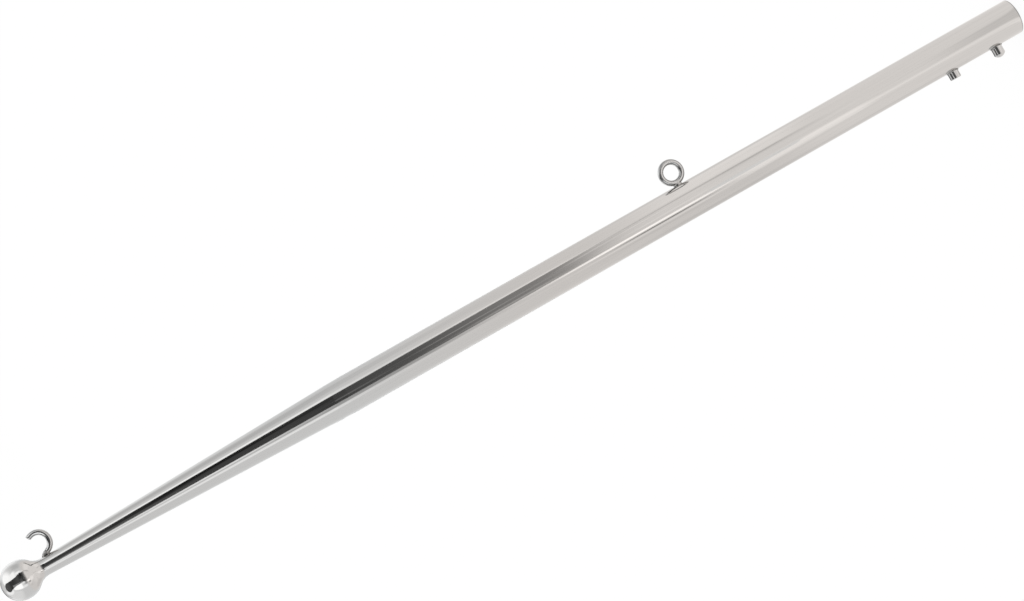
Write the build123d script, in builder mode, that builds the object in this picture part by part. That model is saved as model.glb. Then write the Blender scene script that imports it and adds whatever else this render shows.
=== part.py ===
from build123d import *
import math
import os

# Polished stainless boat flagstaff, with its heel on the origin and its ball up +Z.
# The hook and the eye stand on the +X side, and the two locating pins on the -X side.
# Every size is in millimetres.

# Tube: straight for most of its length, then swaged to a cone
tube_diameter = 25.0
tube_wall = 1.5
straight_length = 531.5
cone_length = 220.0
cone_tip_diameter = 11.3
swage_radius = 300.0
heel_edge_radius = 0.6
bore_edge_chamfer = 0.4

# Ball: two half rounds with a short straight waist between them, on a plain spigot
ball_diameter = 25.4
ball_waist = 1.1
spigot_length = 16.0
spigot_clearance = 0.1
spigot_lead = 1.0
ball_weld_radius = 10.0

# Hook and eye: both bent from the same rod round the same former
rod_diameter = 3.8
former_diameter = 10.6
eye_height = 264.1
eye_root_gap = 0.3
eye_weld_reach = 2.4
eye_weld_length = 6.2
hook_below_ball = 20.0
hook_root_gap = 0.1
hook_tip_angle = 36.0
hook_tip_radius = 0.8
hook_foot_angle = 20.0
hook_weld_reach = 3.3
hook_weld_length = 5.9
hook_weld_crest = 2.1
hook_weld_toe = 0.4

# Locating pins: round bar through one wall of the tube, one with a domed end, one cut flat
pin_diameter = 8.0
pin_hole_clearance = 0.1
pin_inside = 1.5
pin_weld_leg = 0.6
pin_weld_chamfer = 0.45
lower_pin_height = 21.3
lower_pin_reach = 7.6
lower_pin_dome = 2.1
pin_spacing = 36.0
upper_pin_reach = 5.2
upper_pin_chamfer = 0.4

# What follows from them
tube_radius = tube_diameter / 2
tip_radius = cone_tip_diameter / 2
tip_height = straight_length + cone_length
taper = (tube_radius - tip_radius) / cone_length
taper_angle = math.atan(taper)
ball_radius = ball_diameter / 2
ball_height = tip_height + math.sqrt(ball_radius**2 - tip_radius**2)
rod_radius = rod_diameter / 2
bend_radius = (former_diameter + rod_diameter) / 2
hook_height = ball_height - hook_below_ball
pin_radius = pin_diameter / 2
pin_start = tube_radius - tube_wall - pin_inside
upper_pin_height = lower_pin_height + pin_spacing


def outer_radius(height):
    """The tube's radius at a height."""
    return tube_radius - taper * max(height - straight_length, 0)


def bend_centre(height, root_gap, foot_angle=0):
    """Where the rod's bend stands so that its outside, this far round, just clears the tube."""
    turn = math.radians(foot_angle)
    outside = bend_radius + rod_radius
    foot = outer_radius(height - outside * math.sin(turn))
    return Vector(foot + root_gap + outside * math.cos(turn), 0, height)


os.makedirs("parts", exist_ok=True)

# The tube as a filled body. It also cuts each weld to the tube's surface.
with BuildPart() as tube_body:
    with BuildSketch(Plane.XZ) as outer_section:
        with BuildLine():
            Polyline(
                (0, 0),
                (tube_radius, 0),
                (tube_radius, straight_length),
                (tip_radius, tip_height),
                (0, tip_height),
                close=True,
            )
        make_face()
        fillet(outer_section.vertices().sort_by_distance((tube_radius, straight_length))[0], swage_radius)
    revolve(axis=Axis.Z)
    with Locations((0, 0, ball_height)):
        Sphere(ball_radius, mode=Mode.SUBTRACT)

# The same outline, one wall further in, is the bore
bore_radius = tube_radius - tube_wall
bore_bend_height = straight_length - tube_wall * math.tan(taper_angle / 2)
bore_tip_radius = tip_radius - tube_wall / math.cos(taper_angle)
with BuildPart() as bore_body:
    with BuildSketch(Plane.XZ) as bore_section:
        with BuildLine():
            Polyline(
                (0, -tube_wall),
                (bore_radius, -tube_wall),
                (bore_radius, bore_bend_height),
                (bore_tip_radius, tip_height),
                (0, tip_height),
                close=True,
            )
        make_face()
        fillet(
            bore_section.vertices().sort_by_distance((bore_radius, bore_bend_height))[0],
            swage_radius - tube_wall,
        )
    revolve(axis=Axis.Z)

with BuildPart() as staff_tube:
    add(tube_body.part)
    fillet(staff_tube.faces().sort_by(Axis.Z)[0].edges(), heel_edge_radius)
    add(bore_body.part, mode=Mode.SUBTRACT)
    heel = staff_tube.faces().filter_by(Axis.Z).sort_by(Axis.Z)[0]
    chamfer(heel.inner_wires()[0].edges(), bore_edge_chamfer)
    for height in (lower_pin_height, upper_pin_height):
        with BuildSketch(Plane(origin=(0, 0, height), x_dir=(0, 1, 0), z_dir=(-1, 0, 0))):
            Circle(pin_radius + pin_hole_clearance)
        extrude(amount=tube_diameter, mode=Mode.SUBTRACT)
staff_tube.part.label = "staff_tube"
export_step(staff_tube.part, "parts/staff_tube.step")

# The ball seats on the tube's dished end, and its spigot centres it in the cone's mouth
spigot_radius = bore_tip_radius - spigot_clearance
spigot_foot = tip_height - spigot_length
neck_angle = math.degrees(math.acos(spigot_radius / ball_radius))
with BuildPart() as ball:
    with BuildSketch(Plane.XZ):
        with BuildLine():
            lower_round = CenterArc((0, ball_height), ball_radius, -neck_angle, neck_angle)
            upper_round = CenterArc((0, ball_height + ball_waist), ball_radius, 0, 90)
            Line(lower_round @ 1, upper_round @ 0)
            Polyline(
                upper_round @ 1,
                (0, spigot_foot),
                (spigot_radius - spigot_lead, spigot_foot),
                (spigot_radius, spigot_foot + spigot_lead),
                lower_round @ 0,
            )
        make_face()
    revolve(axis=Axis.Z)
ball.part.label = "ball"
export_step(ball.part, "parts/ball.step")

# Hollow weld between cone and ball: an arc tangent to both, turned round the axis
cone_end = Vector(tip_radius, tip_height)
ball_centre = Vector(0, ball_height)
cone_normal = Vector(math.cos(taper_angle), math.sin(taper_angle))
cone_line = Vector(-math.sin(taper_angle), math.cos(taper_angle))
from_ball = cone_end + cone_normal * ball_weld_radius - ball_centre
along = from_ball.dot(cone_line)
weld_drop = along + math.sqrt(along**2 - from_ball.dot(from_ball) + (ball_radius + ball_weld_radius) ** 2)
arc_centre = ball_centre + from_ball - cone_line * weld_drop
weld_foot = cone_end - cone_line * weld_drop
weld_head = ball_centre + (arc_centre - ball_centre).normalized() * ball_radius
weld_middle = (weld_foot + weld_head) / 2 - arc_centre
ball_middle = (weld_head + cone_end) / 2 - ball_centre
with BuildPart() as ball_weld:
    with BuildSketch(Plane.XZ):
        with BuildLine():
            ThreePointArc(weld_foot, arc_centre + weld_middle.normalized() * ball_weld_radius, weld_head)
            ThreePointArc(weld_head, ball_centre + ball_middle.normalized() * ball_radius, cone_end)
            Line(cone_end, weld_foot)
        make_face()
    revolve(axis=Axis.Z)
ball_weld.part.label = "ball_weld"
export_step(ball_weld.part, "parts/ball_weld.step")

# Closed eye in the plane of the hook and the pins
eye_centre = bend_centre(eye_height, eye_root_gap)
with BuildPart() as flag_eye:
    with Locations(Location(eye_centre, (90, 0, 0))):
        Torus(bend_radius, rod_radius)
flag_eye.part.label = "flag_eye"
export_step(flag_eye.part, "parts/flag_eye.step")

# Open hook: from its foot on the cone, round the heel side, to a tip that points at the ball
hook_centre = bend_centre(hook_height, hook_root_gap, hook_foot_angle)
with BuildPart() as flag_hook:
    with BuildLine(Plane.XZ) as hook_path:
        CenterArc(
            (hook_centre.X, hook_centre.Z),
            bend_radius,
            hook_foot_angle - 180,
            180 - hook_foot_angle + hook_tip_angle,
        )
    with BuildSketch(Plane(origin=hook_path.line @ 0, z_dir=hook_path.line % 0)):
        Circle(rod_radius)
    sweep()
    tip_face = flag_hook.faces().filter_by(GeomType.PLANE).sort_by_distance(hook_path.line @ 1)[0]
    fillet(tip_face.edges(), hook_tip_radius)
flag_hook.part.label = "flag_hook"
export_step(flag_hook.part, "parts/flag_hook.step")

# Small polished weld round the eye's foot, a bead along the tube cut to tube and rod
eye_foot = outer_radius(eye_height)
with BuildPart() as eye_weld:
    with BuildSketch(Plane.XZ):
        with BuildLine():
            bead = EllipticalCenterArc(
                (eye_foot, eye_height), eye_weld_reach, eye_weld_length / 2, start_angle=-90, arc_size=180
            )
            Line(bead @ 1, bead @ 0)
        make_face()
    revolve(axis=Axis((eye_foot, 0, eye_height), (0, 0, 1)))
    add(tube_body.part, mode=Mode.SUBTRACT)
    add(flag_eye.part, mode=Mode.SUBTRACT)
eye_weld.part.label = "eye_weld"
export_step(eye_weld.part, "parts/eye_weld.step")

# Weld over the hook's foot: a long ramp on the ball side of the rod's end, a short toe on the other
hook_foot = outer_radius(hook_height)
weld_low = hook_height - (bend_radius + rod_radius) * math.sin(math.radians(hook_foot_angle)) - hook_weld_toe
weld_high = weld_low + hook_weld_length
crest = (hook_foot + hook_weld_reach, weld_low + hook_weld_crest)
ramp_middle = (hook_foot + 0.62 * hook_weld_reach, weld_low + 0.72 * hook_weld_length)
toe_middle = (hook_foot + 0.72 * hook_weld_reach, weld_low + 0.2 * hook_weld_crest)
with BuildPart() as hook_weld:
    with BuildSketch(Plane.XZ):
        with BuildLine():
            ThreePointArc((hook_foot, weld_high), ramp_middle, crest)
            ThreePointArc(crest, toe_middle, (hook_foot, weld_low))
            Line((hook_foot, weld_low), (hook_foot, weld_high))
        make_face()
    revolve(axis=Axis((hook_foot, 0, hook_height), (0, 0, 1)))
    add(tube_body.part, mode=Mode.SUBTRACT)
    add(flag_hook.part, mode=Mode.SUBTRACT)
hook_weld.part.label = "hook_weld"
export_step(hook_weld.part, "parts/hook_weld.step")

# Lower pin, with a domed end
dome_radius = (pin_radius**2 + lower_pin_dome**2) / (2 * lower_pin_dome)
dome_angle = math.degrees(math.asin(pin_radius / dome_radius))
with BuildPart() as lower_pin:
    with BuildSketch(Plane.XZ):
        with BuildLine():
            dome_centre = (dome_radius - lower_pin_reach - tube_radius, lower_pin_height)
            dome = CenterArc(dome_centre, dome_radius, 180 - dome_angle, dome_angle)
            Polyline(
                dome @ 1,
                (-pin_start, lower_pin_height),
                (-pin_start, lower_pin_height + pin_radius),
                dome @ 0,
            )
        make_face()
    revolve(axis=Axis((0, 0, lower_pin_height), (1, 0, 0)))
lower_pin.part.label = "lower_pin"
export_step(lower_pin.part, "parts/lower_pin.step")

# Upper pin, cut flat
with BuildPart() as upper_pin:
    with BuildSketch(Plane(origin=(-pin_start, 0, upper_pin_height), x_dir=(0, 1, 0), z_dir=(-1, 0, 0))):
        Circle(pin_radius)
    extrude(amount=tube_radius + upper_pin_reach - pin_start)
    chamfer(upper_pin.faces().sort_by(Axis.X)[0].edges(), upper_pin_chamfer)
upper_pin.part.label = "upper_pin"
export_step(upper_pin.part, "parts/upper_pin.step")

# Weld ring round each pin's root, which follows the tube's curve
for name, height, pin in (
    ("lower_pin_weld", lower_pin_height, lower_pin),
    ("upper_pin_weld", upper_pin_height, upper_pin),
):
    with BuildPart() as pin_weld:
        with BuildSketch(Plane(origin=(0, 0, height), x_dir=(0, 1, 0), z_dir=(-1, 0, 0))):
            Circle(pin_radius + pin_weld_leg)
        extrude(amount=tube_diameter)
        with Locations((0, 0, height)):
            Cylinder(tube_radius + pin_weld_leg, tube_diameter, mode=Mode.INTERSECT)
        chamfer(pin_weld.faces().sort_by(Axis.X)[0].edges(), pin_weld_chamfer)
        add(tube_body.part, mode=Mode.SUBTRACT)
        add(pin.part, mode=Mode.SUBTRACT)
    pin_weld.part.label = name
    export_step(pin_weld.part, f"parts/{name}.step")
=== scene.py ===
import math
import bpy
from mathutils import Matrix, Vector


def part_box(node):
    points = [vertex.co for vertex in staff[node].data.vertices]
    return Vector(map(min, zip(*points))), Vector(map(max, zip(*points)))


# Polished stainless boat flagstaff: a finish for each piece, and a light tent to show it in.
# Metres, with the heel on the origin, the ball up +Z, and the hook and eye towards +X.

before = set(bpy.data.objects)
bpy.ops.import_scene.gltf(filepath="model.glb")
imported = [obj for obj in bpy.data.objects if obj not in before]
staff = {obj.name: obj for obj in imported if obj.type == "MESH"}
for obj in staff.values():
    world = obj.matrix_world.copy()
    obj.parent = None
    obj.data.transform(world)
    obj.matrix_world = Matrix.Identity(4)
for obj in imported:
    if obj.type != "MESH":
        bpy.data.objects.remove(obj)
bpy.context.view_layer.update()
scene = bpy.context.scene


def addNode(tree, kind, inputs=(), **settings):
    # an input is set, or linked where its value is another node's socket
    node = tree.nodes.new(kind)
    for name, value in settings.items():
        setattr(node, name, value)
    for name, value in dict(inputs).items():
        if isinstance(value, bpy.types.NodeSocket):
            tree.links.new(value, node.inputs[name])
        else:
            node.inputs[name].default_value = value
    return node


def addMath(tree, operation, first, second=0.0):
    return addNode(tree, "ShaderNodeMath", {0: first, 1: second}, operation=operation).outputs[0]


def addRange(tree, value, low, high, lowOut=0.0, highOut=1.0, kind="LINEAR"):
    values = {
        "Value": value,
        "From Min": low,
        "From Max": high,
        "To Min": lowOut,
        "To Max": highOut,
    }
    return addNode(tree, "ShaderNodeMapRange", values, interpolation_type=kind).outputs["Result"]


def addBlend(tree, factor, first, second):
    # the node's colours are its inputs 6 and 7 and its output 2
    values = {0: factor, 6: first, 7: second}
    return addNode(tree, "ShaderNodeMix", values, data_type="RGBA").outputs[2]


def opaque(tone):
    return (*tone, 1)


def splitVector(tree, vector):
    return addNode(tree, "ShaderNodeSeparateXYZ", {"Vector": vector}).outputs


def joinVector(tree, **parts):
    return addNode(tree, "ShaderNodeCombineXYZ", parts).outputs[0]


def addVectorMath(tree, operation, *vectors):
    return addNode(tree, "ShaderNodeVectorMath", enumerate(vectors), operation=operation).outputs


def newGroup(name, inputs, outputs):
    group = bpy.data.node_groups.new(name, "ShaderNodeTree")
    for label, kind, value in inputs:
        group.interface.new_socket(label, in_out="INPUT", socket_type=kind).default_value = value
    for label, kind in outputs:
        group.interface.new_socket(label, in_out="OUTPUT", socket_type=kind)
    return group, addNode(group, "NodeGroupInput").outputs, addNode(group, "NodeGroupOutput").inputs


def placeGroup(tree, group, inputs):
    return addNode(tree, "ShaderNodeGroup", inputs, node_tree=group).outputs


vectorKind = "NodeSocketVector"
valueKind = "NodeSocketFloat"


# Directions round the staff's axis, with the height shortened, so that a pattern runs lengthwise
def makeAroundAxis():
    group, given, result = newGroup(
        "around the axis",
        [("Vector", vectorKind, (0, 0, 0)), ("Along", valueKind, 1.0)],
        [("Vector", vectorKind)],
    )
    place = splitVector(group, given["Vector"])
    across = joinVector(group, X=place["X"], Y=place["Y"])
    turned = splitVector(group, addVectorMath(group, "NORMALIZE", across)[0])
    height = addMath(group, "MULTIPLY", place["Z"], given["Along"])
    whole = joinVector(group, X=turned["X"], Y=turned["Y"], Z=height)
    group.links.new(whole, result["Vector"])
    return group


# Section of a bent rod and the way along its bend, so that a pattern follows the rod
def makeAlongBend():
    group, given, result = newGroup(
        "along the bend",
        [
            ("Vector", vectorKind, (0, 0, 0)),
            ("Centre", vectorKind, (0, 0, 0)),
            ("Radius", valueKind, 0.0071),
            ("Along", valueKind, 1.0),
        ],
        [("Vector", vectorKind)],
    )
    fromCentre = addVectorMath(group, "SUBTRACT", given["Vector"], given["Centre"])[0]
    place = splitVector(group, fromCentre)
    flat = joinVector(group, X=place["X"], Y=place["Z"])
    reach = addVectorMath(group, "LENGTH", flat)["Value"]
    offset = addMath(group, "SUBTRACT", reach, given["Radius"])
    turn = addMath(group, "ARCTAN2", place["Z"], place["X"])
    way = addMath(group, "MULTIPLY", turn, given["Radius"])
    way = addMath(group, "MULTIPLY", way, given["Along"])
    whole = joinVector(group, X=offset, Y=place["Y"], Z=way)
    group.links.new(whole, result["Vector"])
    return group


# Lines that drawing and polishing leave: a slow waviness, and fine scratches on top of it
def makePolishLines():
    group, given, result = newGroup(
        "polish lines",
        [
            ("Vector", vectorKind, (0, 0, 0)),
            ("Waves", valueKind, 4.0),
            ("Scratches", valueKind, 40.0),
            ("Scratch share", valueKind, 0.3),
        ],
        [("Lines", valueKind), ("Height", valueKind)],
    )
    waveInputs = {"Vector": given["Vector"], "Scale": given["Waves"], "Detail": 2.0}
    waves = addNode(group, "ShaderNodeTexNoise", waveInputs).outputs[0]
    scratchInputs = {
        "Vector": given["Vector"],
        "Scale": given["Scratches"],
        "Detail": 4.0,
        "Roughness": 0.7,
    }
    scratches = addNode(group, "ShaderNodeTexNoise", scratchInputs).outputs[0]
    heightInputs = {0: given["Scratch share"], 2: waves, 3: scratches}
    height = addNode(group, "ShaderNodeMix", heightInputs).outputs[0]
    dull, bright = 0.3, 0.7      # the noise hardly leaves this range
    group.links.new(addRange(group, scratches, dull, bright), result["Lines"])
    group.links.new(height, result["Height"])
    return group


# Faint cloudy marks from a cloth and from hands
def makeHandMarks():
    group, given, result = newGroup(
        "hand marks",
        [("Vector", vectorKind, (0, 0, 0)), ("Scale", valueKind, 60.0), ("Cover", valueKind, 0.45)],
        [("Marks", valueKind)],
    )
    cloudInputs = {
        "Vector": given["Vector"],
        "Scale": given["Scale"],
        "Detail": 5.0,
        "Roughness": 0.6,
    }
    cloud = addNode(group, "ShaderNodeTexNoise", cloudInputs).outputs[0]
    softness = 0.2
    edge = addMath(group, "SUBTRACT", 1.0, given["Cover"])
    inside = addMath(group, "ADD", edge, softness)
    marks = addRange(group, cloud, edge, inside, kind="SMOOTHSTEP")
    group.links.new(marks, result["Marks"])
    return group


aroundAxis = makeAroundAxis()
alongBend = makeAlongBend()
polishLines = makePolishLines()
handMarks = makeHandMarks()


# What every steel surface here shares: lines and marks change its tone, gloss and surface height
def makeSteel(name, look, patternOf, rimShadeOf=None):
    material = bpy.data.materials.new(name)
    material.use_nodes = True
    tree = material.node_tree
    shader = tree.nodes["Principled BSDF"]
    shader.inputs["Metallic"].default_value = 1.0
    place = addNode(tree, "ShaderNodeTexCoord").outputs["Object"]
    pattern = patternOf(tree, place)
    lineInputs = {
        "Vector": pattern,
        "Waves": look["waves"],
        "Scratches": look["scratches"],
        "Scratch share": look["scratchShare"],
    }
    lines = placeGroup(tree, polishLines, lineInputs)
    markInputs = {"Vector": place, "Scale": look["markScale"], "Cover": look["markCover"]}
    marks = placeGroup(tree, handMarks, markInputs)["Marks"]

    tone = addBlend(tree, lines["Lines"], opaque(look["lineTone"]), opaque(look["steelTone"]))
    marked = addMath(tree, "MULTIPLY", marks, look["markTint"])
    tone = addBlend(tree, marked, tone, opaque(look["markTone"]))
    # where a piece has a rim, painted shade darkens the base colour beside it
    if rimShadeOf:
        paintedRimShade = addMath(tree, "MULTIPLY", rimShadeOf(tree, pattern), look["paintedRimShadeStrength"])
        tone = addBlend(tree, paintedRimShade, tone, opaque(look["paintedRimShadeTone"]))
    tree.links.new(tone, shader.inputs["Base Color"])

    gloss = addRange(tree, lines["Lines"], 0.0, 1.0, look["roughest"], look["smoothest"])
    gloss = addMath(tree, "ADD", gloss, addMath(tree, "MULTIPLY", marks, look["markRoughness"]))
    tree.links.new(gloss, shader.inputs["Roughness"])

    bump = addNode(tree, "ShaderNodeBump", {"Height": lines["Height"], "Distance": look["relief"]})
    tree.links.new(bump.outputs["Normal"], shader.inputs["Normal"])
    return material


# Tube: drawn and polished lengthwise, so its lines run from the heel up to the cone's tip
tubeLook = {
    "steelTone": (0.564, 0.549, 0.532),
    "lineTone": (0.520, 0.507, 0.493),
    "smoothest": 0.04,
    "roughest": 0.15,
    "waves": 5.0,            # round the tube, over one radius of it
    "scratches": 16.0,
    "scratchShare": 0.18,
    "along": 0.6,            # how quickly the lines change on their way up
    "relief": 0.000030,
    "markScale": 55.0,
    "markCover": 0.40,
    "markTone": (0.50, 0.47, 0.44),
    "markTint": 0.10,
    "markRoughness": 0.05,
    "paintedRimShadeTone": (0.12, 0.12, 0.12),   # painted shade at the heel's turned edge, standing in for its dark reflection
    "paintedRimShadeStrength": 0.65,
    "rimHeight": 0.0007,
    "rimFade": (0.8, 1.4),   # where it fades out, in rim heights above the heel
}


def tubePattern(tree, place):
    return placeGroup(tree, aroundAxis, {"Vector": place, "Along": tubeLook["along"]})["Vector"]


# painted shade at the heel's edge, standing in for its dark reflection: full at the rim and fading
# out above it
def tubeRimShade(tree, pattern):
    height = splitVector(tree, pattern)["Z"]
    height = addMath(tree, "DIVIDE", height, tubeLook["along"] * tubeLook["rimHeight"])
    return addRange(tree, height, *tubeLook["rimFade"], 1.0, 0.0, kind="SMOOTHSTEP")


# Ball: turned and buffed on a lathe, so its rings lie level
ballLook = {
    "steelTone": (0.562, 0.548, 0.533),
    "lineTone": (0.530, 0.517, 0.503),
    "smoothest": 0.05,
    "roughest": 0.10,
    "waves": 250.0,
    "scratches": 2500.0,
    "scratchShare": 0.15,
    "relief": 0.000002,
    "markScale": 90.0,
    "markCover": 0.42,
    "markTone": (0.50, 0.47, 0.44),
    "markTint": 0.10,
    "markRoughness": 0.05,
}


def ballPattern(tree, place):
    return joinVector(tree, Z=splitVector(tree, place)["Z"])


# Hook and eye: drawn rod, polished along its bend
rodLook = {
    "steelTone": (0.600, 0.590, 0.578),
    "lineTone": (0.500, 0.490, 0.480),
    "paintedRimShadeTone": (0.16, 0.16, 0.16),   # painted shade beside the rod's inner and outer rims, standing in for their dark reflections
    "paintedRimShadeStrength": 0.50,
    "rimRise": (0.30, 0.55),         # shares of the rod's radius, from its middle outwards
    "rimFall": (0.72, 0.95),
    "smoothest": 0.11,
    "roughest": 0.20,
    "waves": 600.0,
    "scratches": 3500.0,
    "scratchShare": 0.2,
    "bend": 0.0072,          # from the bend's centre to the middle of the rod
    "along": 0.08,
    "relief": 0.000012,
    "markScale": 220.0,
    "markCover": 0.45,
    "markTone": (0.45, 0.42, 0.39),
    "markTint": 0.15,
    "markRoughness": 0.06,
}
# the eye is duller, from its line's wear, and its painted rim shade is darker
eyeLook = {**rodLook, "smoothest": 0.22, "roughest": 0.33, "paintedRimShadeStrength": 0.72}


def makeRod(name, node, look):
    # both rods bend round a centre that lies level with the lowest and outermost points of the bend
    low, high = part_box(node)
    rodRadius = (high.y - low.y) / 2
    centre = (high.x - rodRadius - look["bend"], 0, low.z + rodRadius + look["bend"])

    def pattern(tree, place):
        values = {
            "Vector": place,
            "Centre": centre,
            "Radius": look["bend"],
            "Along": look["along"],
        }
        return placeGroup(tree, alongBend, values)["Vector"]

    # painted shade in a band between the rod's middle and its inner and outer rims
    def rim(tree, pattern):
        offset = addMath(tree, "ABSOLUTE", splitVector(tree, pattern)["X"])
        offset = addMath(tree, "DIVIDE", offset, rodRadius)
        rise = addRange(tree, offset, *look["rimRise"], kind="SMOOTHSTEP")
        fall = addRange(tree, offset, *look["rimFall"], 1.0, 0.0, kind="SMOOTHSTEP")
        return addMath(tree, "MULTIPLY", rise, fall)

    return makeSteel(name, look, pattern, rim)


# Pins: turned bar, with its tool marks round the pin
pinLook = {
    "steelTone": (0.560, 0.548, 0.535),
    "lineTone": (0.480, 0.470, 0.460),
    "smoothest": 0.09,
    "roughest": 0.18,
    "waves": 900.0,
    "scratches": 4000.0,
    "scratchShare": 0.4,
    "relief": 0.000004,
    "markScale": 260.0,
    "markCover": 0.45,
    "markTone": (0.45, 0.42, 0.39),
    "markTint": 0.15,
    "markRoughness": 0.06,
}


def pinPattern(tree, place):
    return joinVector(tree, X=splitVector(tree, place)["X"])


# Welds: ground and buffed by hand, a little rippled and duller than what they join
weldLook = {
    "steelTone": (0.500, 0.490, 0.475),
    "lineTone": (0.300, 0.290, 0.280),
    "smoothest": 0.12,
    "roughest": 0.30,
    "waves": 700.0,
    "scratches": 2600.0,
    "scratchShare": 0.35,
    "relief": 0.00006,
    "markScale": 620.0,
    "markCover": 0.52,
    "markTone": (0.075, 0.070, 0.065),   # tint from the weld's heat, left where buffing missed it
    "markTint": 0.80,
    "markRoughness": 0.10,
}
# the hook's weld and the pins' are darker: partly their heat tint, partly painted shade for the
# contact shadow where they meet the tube
weldTintAndShadeLook = {
    **weldLook,
    "steelTone": (0.38, 0.37, 0.36),
    "markScale": 450.0,
    "markCover": 0.62,
}


def weldPattern(tree, place):
    return place


def setMaterial(node, material):
    piece = staff[node]
    piece.data.materials.clear()
    piece.data.materials.append(material)
    piece.data.polygons.foreach_set("material_index", [0] * len(piece.data.polygons))


setMaterial("staff_tube", makeSteel("drawnTube", tubeLook, tubePattern, tubeRimShade))
ballSteel = makeSteel("turnedBall", ballLook, ballPattern)
for piece in ("ball", "ball_weld"):
    setMaterial(piece, ballSteel)
setMaterial("flag_eye", makeRod("eyeRod", "flag_eye", eyeLook))
setMaterial("flag_hook", makeRod("hookRod", "flag_hook", rodLook))
pinSteel = makeSteel("turnedPin", pinLook, pinPattern)
for pin in ("lower_pin", "upper_pin"):
    setMaterial(pin, pinSteel)
weldSteel = makeSteel("buffedWeld", weldLook, weldPattern)
setMaterial("eye_weld", weldSteel)
# the hook's and pins' welds take the darker steel, with its painted contact shade
weldTintAndShadeSteel = makeSteel("weldTintAndShade", weldTintAndShadeLook, weldPattern)
for weld in ("hook_weld", "lower_pin_weld", "upper_pin_weld"):
    setMaterial(weld, weldTintAndShadeSteel)
print("steel finishes done:", len(bpy.data.materials), "materials")


# Light tent: a pale room round the staff that only polished steel sees, with a dark slot in it.
# Its directions are an azimuth, from the front towards the hook's side, and an elevation above the
# ball's level, both in degrees as the ball sees them.
tent = {
    "radius": 1.69,
    "shoulder": 1.9,         # where the wall turns into the top
    "top": 2.7,
    "ballHeight": 0.763,
    "columns": 360,
    "floorRows": 70,
    "floorStart": 0.8,       # degrees off straight down, as the ball sees the innermost ring
    "floorTurn": 65,         # degrees from there out to the wall
    "wallRows": 100,
    "topRows": 40,
    "topTurn": 89.5,         # degrees of its arc, which leaves a small hole over the staff
    "plain": 1.02,
    "wallTint": (0.980, 1.000, 1.016),
    "floorTint": (1.020, 0.998, 0.985),
    "tintRise": 0.3,         # how high up the wall its own tint is full
}

# Each panel lifts the tent to its own brightness between its sides and between its levels, and
# fades out over so many degrees beyond the sides and beyond the levels
panels = [
    # the key panel, high on the hook's side, and its foot beside the slot
    {"glow": 1.68, "sides": (30, 62), "levels": (14, 66), "soft": (16, 15)},
    {"glow": 1.76, "sides": (60, 128), "levels": (44, 66), "soft": (24, 29)},
    {"glow": 1.62, "sides": (45, 50), "levels": (-5, 2), "soft": (10, 16)},
    {"glow": 1.28, "sides": (45, 49), "levels": (-25, -8), "soft": (7, 6)},
    {"glow": 1.35, "sides": (145, 182), "levels": (4, 30), "soft": (34, 20)},
    # the fill panel on the other side, and the light that it throws round the back
    {"glow": 1.88, "sides": (-42, -14), "levels": (7, 48), "soft": (11, 9)},
    {"glow": 1.22, "sides": (-160, -62), "levels": (24, 50), "soft": (10, 22)},
    {"glow": 1.55, "sides": (-150, -55), "levels": (58, 68), "soft": (12, 8)},
    {"glow": 1.42, "sides": (-46, -38), "levels": (-8, 0), "soft": (6, 14)},
    {"glow": 1.40, "sides": (-21, -14), "levels": (-6, 4), "soft": (4, 4)},
    # the floor, and lines of light on it
    {"glow": 1.13, "sides": (-182, 182), "levels": (-90, -60), "soft": (1, 14)},
    {"glow": 1.12, "sides": (-12, 130), "levels": (-90, -35), "soft": (10, 7)},
    {"glow": 1.25, "sides": (56, 125), "levels": (-49, -40), "soft": (8, 14)},
    {"glow": 1.92, "sides": (-24.5, -20.5), "levels": (-39, -28), "soft": (5, 6)},
    {"glow": 1.40, "sides": (-33, -20), "levels": (-62, -47), "soft": (22, 7)},
    {"glow": 1.20, "sides": (-49, -45), "levels": (-40, -30), "soft": (5, 5)},
    {"glow": 1.28, "sides": (-28, -21), "levels": (-90, -60), "soft": (16, 8)},
    {"glow": 1.20, "sides": (-2, 4), "levels": (-39, -32), "soft": (6, 4)},
    {"glow": 1.17, "sides": (27, 31), "levels": (-35, -32), "soft": (6, 4)},
]

# Each shade takes the tent down by a share
shades = [
    {"share": 0.22, "sides": (86, 102), "levels": (-8, -1), "soft": (22, 18)},
    {"share": 0.44, "sides": (-31, -14), "levels": (-18, -12), "soft": (5, 5)},
    {"share": 0.18, "sides": (-31, -27), "levels": (-10, -6), "soft": (3, 3)},
    {"share": 0.75, "sides": (-36.5, -34.5), "levels": (-37, -33), "soft": (4, 5)},
    {"share": 0.26, "sides": (43, 46), "levels": (-50, -29), "soft": (4, 4)},
    {"share": 0.12, "sides": (36, 44), "levels": (-54, -44), "soft": (5, 5)},
    {"share": 0.07, "sides": (-66, -58), "levels": (-38, -31), "soft": (5, 4)},
    {"share": 0.17, "sides": (-6, 22), "levels": (-90, -86), "soft": (12, 14)},
    {"share": 0.08, "sides": (134, 182), "levels": (-78, -14), "soft": (20, 10)},
    {"share": 0.12, "sides": (-182, -122), "levels": (-78, -38), "soft": (22, 12)},
    {"share": 0.48, "sides": (163, 182), "levels": (34, 41), "soft": (12, 5)},
    {"share": 0.45, "sides": (-182, -154), "levels": (35, 41), "soft": (14, 4)},
]

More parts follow.
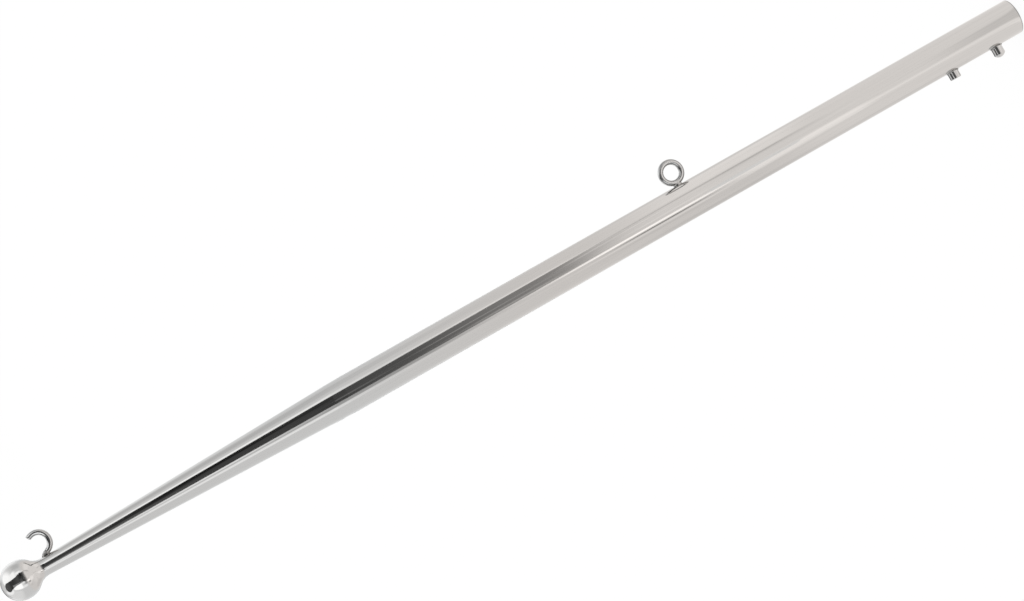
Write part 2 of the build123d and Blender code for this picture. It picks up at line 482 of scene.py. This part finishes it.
# The slot: a dark band up the tent's front and over its top, which fades out on the floor, with
# brighter streaks in it
slotSides = [                # elevation, and the azimuth of its two sides there
    (-31, -15, 42.5),
    (-24, -16, 43),
    (-20, -17, 42),
    (-16, -16, 39.7),
    (-12, -15.5, 40.5),
    (-8, -13.8, 42),
    (-5, -12.8, 42.5),
    (-2, -13, 42),
    (0, -13.5, 37.5),
    (3, -14.5, 35.5),
    (8, -15, 34),
    (15, -15.5, 32),
    (30, -17, 32),
    (38, -20, 33),
    (46, -26, 35),
    (54, -32, 40),
    (62, -44, 48.5),
    (67, -80, 58),
    (70, -130, 68),
    (74, -182, 110),
    (76, -182, 182),
    (90, -182, 182),
]
slotFade = [                 # elevation, and the slot's brightness there
    (-31, 1.05),
    (-29.5, 0.97),
    (-28, 0.85),
    (-26, 0.53),
    (-24, 0.36),
    (-22, 0.32),
    (-20, 0.22),
    (-18, 0.13),
    (-14, 0.09),
    (-10, 0.045),
    (-7, 0.02),
    (-3, 0.02),
    (0, 0.06),
    (8, 0.11),
    (38, 0.06),
    (60, 0.06),
    (75, 0.12),
    (90, 0.13),
]
slotStreaks = [
    {"glow": 0.60, "sides": (-13, -6), "levels": (-24, -21.5), "soft": (3, 2)},
    {"glow": 0.48, "sides": (10.5, 14), "levels": (-24, -20), "soft": (3, 3)},
    {"glow": 0.24, "sides": (-1, 5), "levels": (-16, -13), "soft": (3, 2)},
    {"glow": 0.08, "sides": (-12, 16), "levels": (-10, -5), "soft": (10, 3)},
    {"glow": 0.13, "sides": (-12, 5), "levels": (-4, 1), "soft": (12, 2)},
    {"glow": 0.37, "sides": (-24, -10), "levels": (0, 50), "soft": (7, 4)},
    {"glow": 0.95, "sides": (-5, 0), "levels": (-31, -28), "soft": (5, 3.5)},
    {"glow": 1.00, "sides": (23, 28), "levels": (-31, -27), "soft": (5, 3.5)},
]
slotEdge = 1.2               # degrees over which the slot's sides fade
# a second slot straight behind the staff, which only the rims of round pieces reflect
backSlot = {"glow": 0.10, "half": 12, "levels": (-22, 20), "soft": (1.5, 12)}


def softly(value, low, high, soft):
    # one between low and high, and down to nothing a soft distance outside them
    away = min(max(low - value, value - high, 0) / soft, 1)
    return 1 - away * away * (3 - 2 * away)


def cover(patch, azimuth, elevation):
    level = softly(elevation, *patch["levels"], patch["soft"][1])
    return level and level * softly(azimuth, *patch["sides"], patch["soft"][0])


def between(rows, elevation):
    # what the rows say at this elevation, straight from one row to the next
    for lower, upper in zip(rows, rows[1:]):
        if elevation <= upper[0]:
            share = (elevation - lower[0]) / (upper[0] - lower[0])
            return [start + (end - start) * share for start, end in zip(lower[1:], upper[1:])]
    return rows[-1][1:]


def tentGlow(azimuth, elevation):
    glow = tent["plain"]
    for panel in panels:
        lift = (panel["glow"] - tent["plain"]) * cover(panel, azimuth, elevation)
        glow = max(glow, tent["plain"] + lift)
    for shade in shades:
        glow *= 1 - shade["share"] * cover(shade, azimuth, elevation)
    behind = softly(abs(azimuth), 180 - backSlot["half"], 180, backSlot["soft"][0])
    behind *= softly(elevation, *backSlot["levels"], backSlot["soft"][1])
    glow += (backSlot["glow"] - glow) * behind
    if elevation < slotSides[0][0]:
        return glow
    dark = between(slotFade, elevation)[0]
    for streak in slotStreaks:
        dark = max(dark, streak["glow"] * cover(streak, azimuth, elevation))
    return glow + (dark - glow) * softly(azimuth, *between(slotSides, elevation), slotEdge)


def tentOutline():
    # distances from the staff's axis and heights, from the floor's middle out, up and over
    outline = []
    for i in range(tent["floorRows"]):
        turn = math.radians(tent["floorStart"] + tent["floorTurn"] * i / tent["floorRows"])
        outline.append((tent["ballHeight"] * math.tan(turn), 0.0))
    for i in range(tent["wallRows"]):
        outline.append((tent["radius"], tent["shoulder"] * i / tent["wallRows"]))
    rise = tent["top"] - tent["shoulder"]
    for i in range(tent["topRows"]):
        turn = math.radians(tent["topTurn"] * i / (tent["topRows"] - 1))
        outline.append((tent["radius"] * math.cos(turn), tent["shoulder"] + rise * math.sin(turn)))
    return outline


def addStagePiece(name, points, faces):
    # a piece and the empty node tree of its own material
    mesh = bpy.data.meshes.new(name)
    mesh.from_pydata(points, [], faces)
    piece = bpy.data.objects.new(name, mesh)
    scene.collection.objects.link(piece)
    material = bpy.data.materials.new(name)
    material.use_nodes = True
    material.node_tree.nodes.clear()
    mesh.materials.append(material)
    return piece, material.node_tree


def addGlowingPiece(name, points, faces, glows):
    # it shines by its points' glow, and nothing but polished steel sees it
    piece, tree = addStagePiece(name, points, faces)
    piece.data.attributes.new("glow", "FLOAT", "POINT").data.foreach_set("value", glows)
    glow = addNode(tree, "ShaderNodeAttribute", attribute_name="glow").outputs["Fac"]
    place = addNode(tree, "ShaderNodeTexCoord").outputs["Object"]
    wall = addRange(tree, splitVector(tree, place)["Z"], 0.0, tent["tintRise"])
    tint = addBlend(tree, wall, opaque(tent["floorTint"]), opaque(tent["wallTint"]))
    shine = addNode(tree, "ShaderNodeEmission", {"Color": tint, "Strength": glow}).outputs[0]
    addNode(tree, "ShaderNodeOutputMaterial", {"Surface": shine})
    piece.visible_camera = False
    piece.visible_diffuse = False
    piece.visible_transmission = False
    piece.visible_shadow = False


def makeTent():
    points = []
    glows = []
    faces = []
    columns = tent["columns"]
    for row, (reach, height) in enumerate(tentOutline()):
        elevation = math.degrees(math.atan2(height - tent["ballHeight"], reach))
        for column in range(columns):
            azimuth = -180 + 360 * column / columns
            turn = math.radians(azimuth)
            points.append((reach * math.sin(turn), -reach * math.cos(turn), height))
            glows.append(tentGlow(azimuth, elevation))
            if row:
                here = row * columns + column
                beside = row * columns + (column + 1) % columns
                faces.append((here - columns, beside - columns, beside, here))
    addGlowingPiece("lightTent", points, faces, glows)


# Card: a small pale board before the staff, about as bright as the floor, that lights a line along
# the pins
pinCard = {
    "glow": 1.15,
    "front": -0.10,
    "across": (-0.035, -0.008),
    "heights": (0.150, 0.225),
}


def makePinCard():
    left, right = pinCard["across"]
    low, high = pinCard["heights"]
    front = pinCard["front"]
    corners = [(left, front, low), (right, front, low), (right, front, high), (left, front, high)]
    addGlowingPiece("pinCard", corners, [(0, 1, 2, 3)], [pinCard["glow"]] * 4)


def makeWorld():
    world = bpy.data.worlds.new("paleRoom")
    world.use_nodes = True
    tree = world.node_tree
    tree.nodes["Background"].inputs["Color"].default_value = (1, 1, 1, 1)
    tree.nodes["Background"].inputs["Strength"].default_value = 1.0
    scene.world = world


# Floor: pale, mostly shadowless, and left out of the steel so that the tent runs on below it
floorLook = {
    "size": 60.0,
    "tone": (0.90, 0.90, 0.90),
    "shadowless": 0.86,
    "white": 1.02,
}


def makeFloor():
    half = floorLook["size"] / 2
    corners = [(-half, -half, 0), (half, -half, 0), (half, half, 0), (-half, half, 0)]
    floor, tree = addStagePiece("paleFloor", corners, [(0, 1, 2, 3)])
    board = addNode(tree, "ShaderNodeBsdfDiffuse", {"Color": opaque(floorLook["tone"])}).outputs[0]
    glow = addNode(tree, "ShaderNodeEmission", {"Strength": floorLook["white"]}).outputs[0]
    ray = addNode(tree, "ShaderNodeLightPath").outputs
    seen = addMath(tree, "MAXIMUM", ray["Is Camera Ray"], ray["Is Glossy Ray"])
    seen = addMath(tree, "MAXIMUM", seen, ray["Is Transmission Ray"])
    share = addMath(tree, "MULTIPLY", seen, floorLook["shadowless"])
    mixed = addNode(tree, "ShaderNodeMixShader", {0: share, 1: board, 2: glow}).outputs[0]
    addNode(tree, "ShaderNodeOutputMaterial", {"Surface": mixed})
    floor.visible_glossy = False


makeTent()
makePinCard()
makeWorld()
makeFloor()
print("light tent done")


# Camera: level with the ball, looking down the staff, rolled so that the ball is at the lower left
cameraPlace = {
    "lens": 100.2,
    "sensor": 36.0,
    "distance": 1.8662,
    "aim": (0.0003, 0.0, 0.4005),
    "tilt": 11.33,
    "roll": -119.62,
}


def makeCamera():
    data = bpy.data.cameras.new("camera")
    data.lens = cameraPlace["lens"]
    data.sensor_width = cameraPlace["sensor"]
    camera = bpy.data.objects.new("camera", data)
    scene.collection.objects.link(camera)
    aim = Matrix.Translation(cameraPlace["aim"])
    look = Matrix.Rotation(math.radians(90 - cameraPlace["tilt"]), 4, "X")
    roll = Matrix.Rotation(math.radians(cameraPlace["roll"]), 4, "Z")
    back = Matrix.Translation((0, 0, cameraPlace["distance"]))
    camera.matrix_world = aim @ look @ roll @ back
    scene.camera = camera


makeCamera()
scene.view_settings.view_transform = "Standard"
print("camera done")
